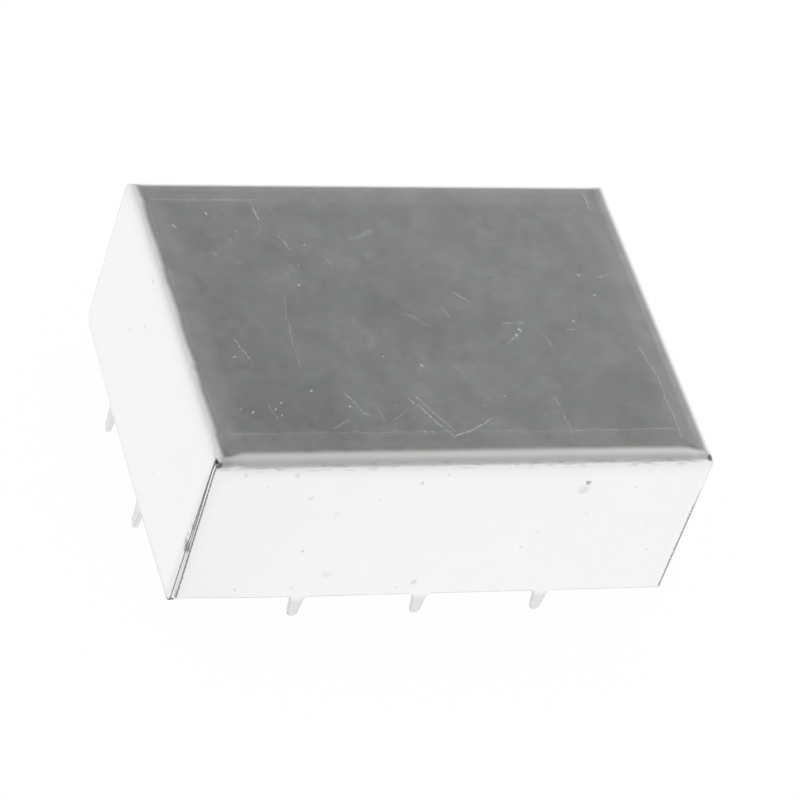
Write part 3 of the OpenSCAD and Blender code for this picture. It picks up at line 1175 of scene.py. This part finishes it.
def floorMaterial():
    # the camera sees it white, and metal mirrors it white near the can and greyer further off
    material = bpy.data.materials.new("paleFloor")
    material.use_nodes = True
    tree = material.node_tree
    tree.nodes.clear()
    output = tree.nodes.new("ShaderNodeOutputMaterial")
    matt = tree.nodes.new("ShaderNodeBsdfDiffuse")
    glow = tree.nodes.new("ShaderNodeEmission")
    glow.inputs["Strength"].default_value = 1.0
    path = tree.nodes.new("ShaderNodeLightPath").outputs
    place = splitOf(tree, tree.nodes.new("ShaderNodeTexCoord").outputs["Object"])
    outX = minusOf(tree, mathOf(tree, "ABSOLUTE", place[0]), can["halfWidth"] * mm)
    outY = minusOf(tree, mathOf(tree, "ABSOLUTE", place[1]), can["halfDepth"] * mm)
    outward = largerOf(tree, outX, outY)
    beside = rangeOf(tree, outward, *studio["underCan"])
    mirrored = largerOf(tree, path["Is Glossy Ray"], path["Is Transmission Ray"])
    pale = rangeOf(tree, outward, *studio["mirrorFade"], studio["floorMirror"], studio["floorFar"],
                   smooth=True)
    lost = timesOf(tree, minusOf(tree, 1.0, pale), mirrored)
    tree.links.new(minusOf(tree, studio["mattWhite"], lost), matt.inputs["Color"])
    mirrored = timesOf(tree, timesOf(tree, mirrored, beside), pale)
    seen = timesOf(tree, path["Is Camera Ray"], timesOf(tree, beside, studio["floorWhite"]))
    mix = tree.nodes.new("ShaderNodeMixShader")
    tree.links.new(largerOf(tree, seen, mirrored), mix.inputs[0])
    tree.links.new(matt.outputs[0], mix.inputs[1])
    tree.links.new(glow.outputs[0], mix.inputs[2])
    tree.links.new(mix.outputs[0], output.inputs["Surface"])
    return material


def makeFloor():
    half, level = studio["floorSize"] / 2, studio["floorLevel"]
    corners = [(-half, -half, level), (half, -half, level), (half, half, level), (-half, half, level)]
    mesh = bpy.data.meshes.new("floor")
    mesh.from_pydata(corners, [], [(0, 1, 2, 3)])
    floor = bpy.data.objects.new("floor", mesh)
    bpy.context.scene.collection.objects.link(floor)
    mesh.materials.append(floorMaterial())


def makeWorld():
    world = bpy.data.worlds.new("studio")
    world.use_nodes = True
    tree = world.node_tree
    tree.nodes.clear()
    output = tree.nodes.new("ShaderNodeOutputWorld")
    background = tree.nodes.new("ShaderNodeBackground")
    path = tree.nodes.new("ShaderNodeLightPath").outputs
    towards = tree.nodes.new("ShaderNodeTexCoord").outputs["Generated"]
    towards = vectorOf(tree, "NORMALIZE", towards)
    upward = splitOf(tree, towards)[2]
    level = rangeOf(tree, upward, *studio["zenithRise"], studio["sky"], studio["zenith"], smooth=True)
    masks = {}
    for name in ("leftPart", "darkPart", "frontPart"):
        patch = studio[name]
        centre = Vector(patch["towards"]).normalized()
        away = mathOf(tree, "ARCCOSINE", vectorOf(tree, "DOT_PRODUCT", towards, tuple(centre)))
        masks[name] = rangeOf(tree, away, math.radians(patch["inner"]), math.radians(patch["outer"]),
                              1.0, 0.0, smooth=True)
        change = minusOf(tree, patch["level"], level)
        level = mathOf(tree, "MULTIPLY_ADD", change, masks[name], level)
    low = rangeOf(tree, upward, *studio["horizonFall"], 1.0, 0.0, smooth=True)
    level = mathOf(tree, "MULTIPLY_ADD", minusOf(tree, studio["horizon"], level), low, level)
    # what isn't mirrored is lit by an even white
    even = minusOf(tree, 1.0, path["Is Glossy Ray"])
    level = mathOf(tree, "MULTIPLY_ADD", minusOf(tree, 1.0, level), even, level)
    tree.links.new(level, background.inputs["Strength"])
    tint = timesOf(tree, masks["darkPart"], path["Is Glossy Ray"])
    colour = mixOf(tree, tint, (1.0, 1.0, 1.0, 1.0), (*studio["darkTint"], 1.0))
    tree.links.new(colour, background.inputs["Color"])
    tree.links.new(background.outputs[0], output.inputs["Surface"])
    bpy.context.scene.world = world


def makeCamera():
    azimuth, elevation = math.radians(photoView["azimuth"]), math.radians(photoView["elevation"])
    roll = math.radians(photoView["roll"])
    back = Vector((math.sin(azimuth) * math.cos(elevation), -math.cos(azimuth) * math.cos(elevation),
                   math.sin(elevation)))
    level = (-back).cross(Vector((0.0, 0.0, 1.0))).normalized()
    steep = (-back).cross(level)
    right = math.cos(roll) * level - math.sin(roll) * steep
    down = math.sin(roll) * level + math.cos(roll) * steep
    place = back * photoView["distance"] - right * photoView["offset"][0] - down * photoView["offset"][1]
    camera = bpy.data.cameras.new("camera")
    camera.sensor_width = photoView["sensor"]
    camera.lens = photoView["lens"]
    camera.clip_start = photoView["clipStart"]
    holder = bpy.data.objects.new("camera", camera)
    axes = Matrix((right, -down, back)).transposed().to_4x4()
    axes.translation = place
    holder.matrix_world = axes
    bpy.context.scene.collection.objects.link(holder)
    bpy.context.scene.camera = holder


makeCan(tinplateMaterial())
makeFloor()
makeWorld()
makeCamera()
print("floor, light and camera set")
bpy.context.scene.view_settings.view_transform = "Standard"
